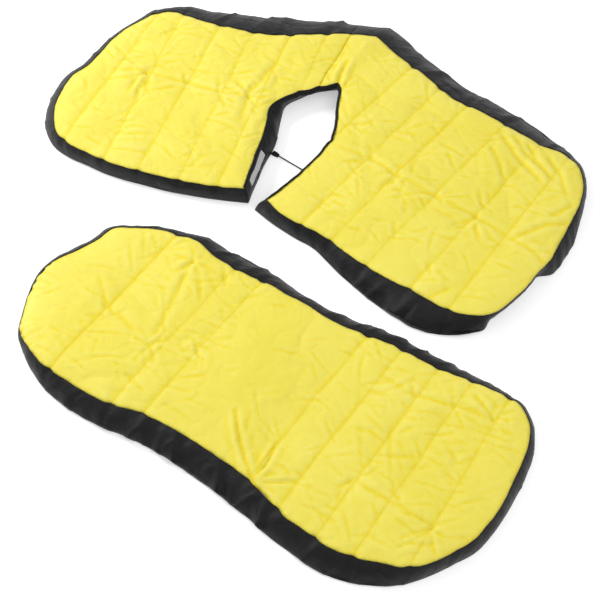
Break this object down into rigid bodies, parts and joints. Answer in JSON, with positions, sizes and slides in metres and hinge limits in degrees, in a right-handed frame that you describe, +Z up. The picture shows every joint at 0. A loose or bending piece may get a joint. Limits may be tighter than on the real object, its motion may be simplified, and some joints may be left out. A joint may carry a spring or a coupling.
{
  "type": "bench seat cover set",
  "caption": "Quilted two-piece bench seat cover: a two-lobed seat cover with a centre notch and slit, and a waisted backrest cover, both with tucked elastic skirts.",
  "frame": {"origin": "middle of the set's outline on the surface that both covers lie on", "axes": "+Z up, out of the quilted faces; +Y from the backrest cover towards the seat cover; +X to the right with the slit facing the viewer"},
  "size_m": [1.146, 1.458, 0.044],
  "materials": {
    "yellow_quilted_cloth": "woven nylon, quilted, soft satin sheen",
    "black_skirt_cloth": "plain woven polyester, matt",
    "lining": "brushed backing cloth, matt",
    "wadding": "bonded polyester wadding",
    "elastic_cord": "braided round elastic"
  },
  "bodies": {
    "seat_right": {"seat_face_right": "yellow_quilted_cloth", "seat_hem_band_right": "black_skirt_cloth", "seat_hem_casing_right": "black_skirt_cloth", "seat_hem_elastic_right": "elastic_cord", "seat_lining_right": "lining", "seat_notch_facing_right": "black_skirt_cloth", "seat_notch_hem_right": "black_skirt_cloth", "seat_skirt_right": "black_skirt_cloth", "seat_wadding_right": "wadding"},
    "seat_bridge": {"seat_face_bridge": "yellow_quilted_cloth", "seat_hem_band_bridge": "black_skirt_cloth", "seat_lining_bridge": "lining", "seat_notch_casing_bridge": "black_skirt_cloth", "seat_notch_elastic_bridge": "elastic_cord", "seat_notch_facing_bridge": "black_skirt_cloth", "seat_notch_hem_bridge": "black_skirt_cloth", "seat_rear_casing_bridge": "black_skirt_cloth", "seat_rear_elastic_bridge": "elastic_cord", "seat_skirt_bridge": "black_skirt_cloth", "seat_wadding_bridge": "wadding"},
    "seat_left": {"seat_face_left": "yellow_quilted_cloth", "seat_hem_band_left": "black_skirt_cloth", "seat_hem_casing_left": "black_skirt_cloth", "seat_hem_elastic_left": "elastic_cord", "seat_lining_left": "lining", "seat_notch_facing_left": "black_skirt_cloth", "seat_notch_hem_left": "black_skirt_cloth", "seat_skirt_left": "black_skirt_cloth", "seat_wadding_left": "wadding", "slit_cord": "elastic_cord", "slit_cord_tab": "black_skirt_cloth"},
    "back_left": {"back_face_left": "yellow_quilted_cloth", "back_hem_band_left": "black_skirt_cloth", "back_hem_casing_left": "black_skirt_cloth", "back_hem_elastic_left": "elastic_cord", "back_lining_left": "lining", "back_skirt_left": "black_skirt_cloth", "back_wadding_left": "wadding"},
    "back_right": {"back_face_right": "yellow_quilted_cloth", "back_hem_band_right": "black_skirt_cloth", "back_hem_casing_right": "black_skirt_cloth", "back_hem_elastic_right": "elastic_cord", "back_lining_right": "lining", "back_skirt_right": "black_skirt_cloth", "back_wadding_right": "wadding"}
  },
  "joints": [
    {"name": "seat_lobe_spread", "type": "hinge", "parent": "seat_right", "child": "seat_bridge", "pos_m": [0.185, 0.662, 0.02], "axis": [0, 0, -1], "range_deg": [0, 25]},
    {"name": "seat_left_fold", "type": "hinge", "parent": "seat_bridge", "child": "seat_left", "pos_m": [-0.0233, 0.4184, 0.048], "axis": [0.3189, 0.9478, 0], "range_deg": [0, 174]},
    {"name": "back_cover_lift", "type": "slide", "parent": "seat_right", "child": "back_left", "axis": [0, 0, 1], "range_m": [0, 0.25]},
    {"name": "back_cover_fold", "type": "hinge", "parent": "back_left", "child": "back_right", "pos_m": [-0.082, -0.336, 0.048], "axis": [-0.5447, -0.8386, 0], "range_deg": [0, 174]}
  ]
}
